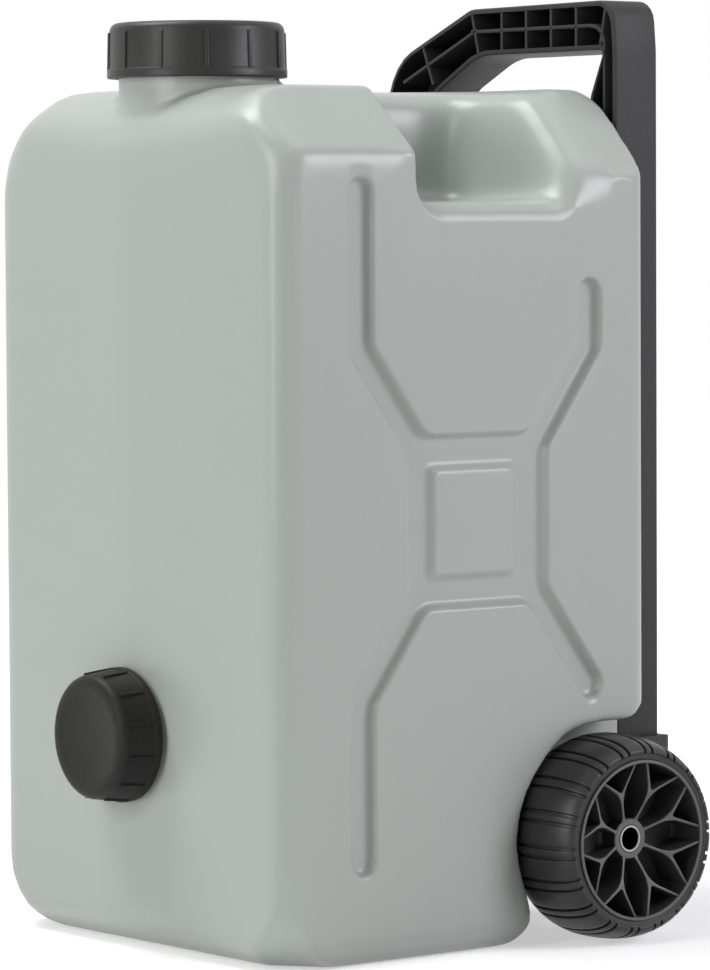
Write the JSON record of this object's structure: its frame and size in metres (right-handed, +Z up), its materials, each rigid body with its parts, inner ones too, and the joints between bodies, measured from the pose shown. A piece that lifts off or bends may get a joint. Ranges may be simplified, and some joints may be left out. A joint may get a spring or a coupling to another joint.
{
  "type": "wheeled water tank",
  "caption": "Blow-moulded water tank with a screw-capped fill neck and drain, side grip recesses, and a ribbed pull-handle frame on wheels.",
  "frame": {"origin": "on the ground, under the middle of the whole object", "axes": "+Z up, -Y towards the front, where the drain cap is, +X towards the wheel nearest the camera"},
  "size_m": [0.377, 0.3646, 0.5795],
  "materials": {
    "tank_plastic": "satin, very fine moulded grain",
    "cap_plastic": "satin",
    "black_plastic": "satin, fine moulded grain",
    "tyre": "satin",
    "seal_rubber": "matt",
    "steel": "bright zinc"
  },
  "bodies": {
    "base": {"tank": "tank_plastic", "trolley_frame": "black_plastic", "left_axle_bracket": "black_plastic", "right_axle_bracket": "black_plastic", "axle": "steel", "left_axle_spacer": "black_plastic", "right_axle_spacer": "black_plastic", "left_wheel_washer": "steel", "right_wheel_washer": "steel", "frame_screw_lower_right": "steel", "frame_screw_lower_left": "steel", "frame_screw_upper_right": "steel", "frame_screw_upper_left": "steel"},
    "right_wheel": {"right_wheel_rim": "black_plastic", "right_tyre": "tyre"},
    "left_wheel": {"left_wheel_rim": "black_plastic", "left_tyre": "tyre"},
    "fill_seal_ring": {"fill_cap_seal": "seal_rubber"},
    "fill_screw_cap": {"fill_cap": "cap_plastic"},
    "drain_seal_ring": {"drain_cap_seal": "seal_rubber"},
    "drain_screw_cap": {"drain_cap": "cap_plastic"}
  },
  "joints": [
    {"name": "right_wheel_spin", "type": "hinge", "parent": "base", "child": "right_wheel", "pos_m": [0.1615, 0.09785, 0.065], "axis": [1, 0, 0], "continuous": true},
    {"name": "left_wheel_spin", "type": "hinge", "parent": "base", "child": "left_wheel", "pos_m": [-0.1615, 0.09785, 0.065], "axis": [1, 0, 0], "continuous": true},
    {"name": "fill_cap_lift", "type": "slide", "parent": "base", "child": "fill_seal_ring", "axis": [0, 0, 1], "range_m": [0, 0.036]},
    {"name": "fill_cap_turn", "type": "hinge", "parent": "fill_seal_ring", "child": "fill_screw_cap", "pos_m": [0, -0.09615, 0.53], "axis": [0, 0, 1], "range_deg": [0, 1080]},
    {"name": "drain_cap_lift", "type": "slide", "parent": "base", "child": "drain_seal_ring", "axis": [0, -1, 0], "range_m": [0, 0.03]},
    {"name": "drain_cap_turn", "type": "hinge", "parent": "drain_seal_ring", "child": "drain_screw_cap", "pos_m": [0, -0.15485, 0.1325], "axis": [0, -1, 0], "range_deg": [0, 900]}
  ],
  "couplings": [
    {"joint": "fill_cap_lift", "follows": "fill_cap_turn", "m_per_rad": 0.0019},
    {"joint": "drain_cap_lift", "follows": "drain_cap_turn", "m_per_rad": 0.0019}
  ]
}
